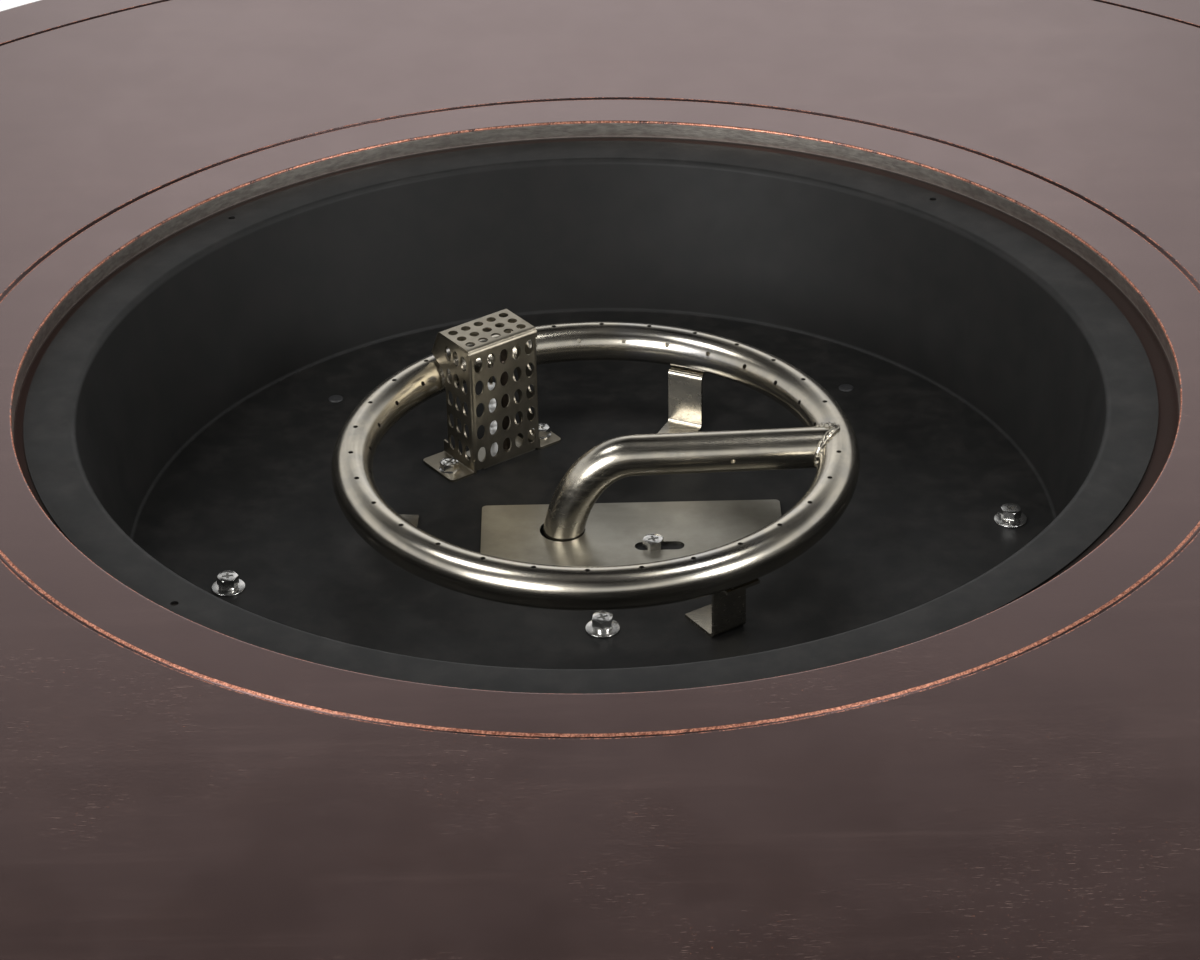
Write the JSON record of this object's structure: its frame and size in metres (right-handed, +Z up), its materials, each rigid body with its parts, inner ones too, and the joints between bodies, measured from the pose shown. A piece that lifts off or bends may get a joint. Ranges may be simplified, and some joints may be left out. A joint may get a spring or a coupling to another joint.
{
  "type": "gas fire pit table",
  "caption": "Round metal fire pit table with a drop-in burner bowl, ring burner and igniter shield, on a square cabinet with a door, control knob and spark button.",
  "frame": {"origin": "floor level under the centre of the round tabletop", "axes": "+Z up; -Y towards the door and the controls; +X to the right as seen from the door's side"},
  "size_m": [1.372, 1.372, 0.635],
  "materials": {
    "top_bronze": "dark bronze coat, semi-gloss, rubbed to copper on the edges",
    "pan_black": "high-temperature black, matte",
    "burner_steel": "polished stainless steel",
    "shield_steel": "satin stainless steel",
    "plate_steel": "brushed stainless steel",
    "zinc": "bright zinc plate",
    "ceramic": "glazed white ceramic",
    "copper_rod": "heat-tinted copper alloy",
    "brass": "turned brass",
    "galvanised": "galvanised sheet",
    "cabinet_coat": "dark bronze powder coat, fine texture",
    "frame_coat": "black powder coat",
    "cast_zinc": "cast, bead-blasted",
    "lead_red": "silicone sleeve",
    "copper_tube": "drawn copper",
    "knob_black": "fine-grain moulded plastic",
    "button_black": "moulded plastic",
    "foot_black": "moulded nylon",
    "bronze_trim": "oiled bronze"
  },
  "bodies": {
    "cabinet": {"tabletop": "top_bronze", "top_ribs": "frame_coat", "burner_pan": "pan_black", "pan_plugs": "zinc", "burner_ring": "burner_steel", "ring_brackets": "burner_steel", "feed_tube": "burner_steel", "cover_plate": "plate_steel", "cover_bolt": "zinc", "cover_nut": "zinc", "igniter_shield": "shield_steel", "shield_screws": "zinc", "electrode_insulator": "ceramic", "electrode_wire": "burner_steel", "thermocouple": "copper_rod", "igniter_plate": "plate_steel", "pan_bolts": "zinc", "spring_washers": "zinc", "flat_washers": "zinc", "spacers": "galvanised", "pan_nuts": "zinc", "heat_shield": "galvanised", "air_mixer": "cast_zinc", "air_shutter": "galvanised", "orifice_holder": "brass", "gas_line": "copper_tube", "spark_lead": "lead_red", "thermocouple_lead": "copper_tube", "corner_posts": "frame_coat", "top_rails": "frame_coat", "bottom_rails": "frame_coat", "levelling_feet": "foot_black", "foot_nuts": "zinc", "base_floor": "frame_coat", "left_panel": "cabinet_coat", "right_panel": "cabinet_coat", "back_panel": "cabinet_coat", "front_panel": "cabinet_coat", "hinge_leaves": "bronze_trim", "hinge_pins": "zinc", "magnet_catch": "foot_black", "control_plate": "plate_steel", "gas_valve": "cast_zinc", "valve_nut": "zinc", "knob_bezel": "plate_steel", "igniter_housing": "button_black", "gas_inlet": "brass", "tank_ring": "frame_coat"},
    "door": {"door": "cabinet_coat", "door_pull": "bronze_trim", "pull_screw": "zinc", "door_leaves": "bronze_trim", "strike_plate": "zinc"},
    "spindle": {"valve_spindle": "brass"},
    "knob": {"control_knob": "knob_black"},
    "button": {"igniter_button": "button_black"}
  },
  "joints": [
    {"name": "door_swing", "type": "hinge", "parent": "cabinet", "child": "door", "pos_m": [0.3363, -0.3553, 0.305], "axis": [0, 0, 1], "range_deg": [0, 110]},
    {"name": "knob_push", "type": "slide", "parent": "cabinet", "child": "spindle", "axis": [0, 1, 0], "range_m": [0, 0.004], "stiffness_N_per_m": 800},
    {"name": "knob_turn", "type": "hinge", "parent": "spindle", "child": "knob", "pos_m": [-0.208, -0.3668, 0.517], "axis": [0, -1, 0], "range_deg": [0, 180]},
    {"name": "igniter_press", "type": "slide", "parent": "cabinet", "child": "button", "axis": [0, 1, 0], "range_m": [0, 0.005], "stiffness_N_per_m": 400}
  ]
}
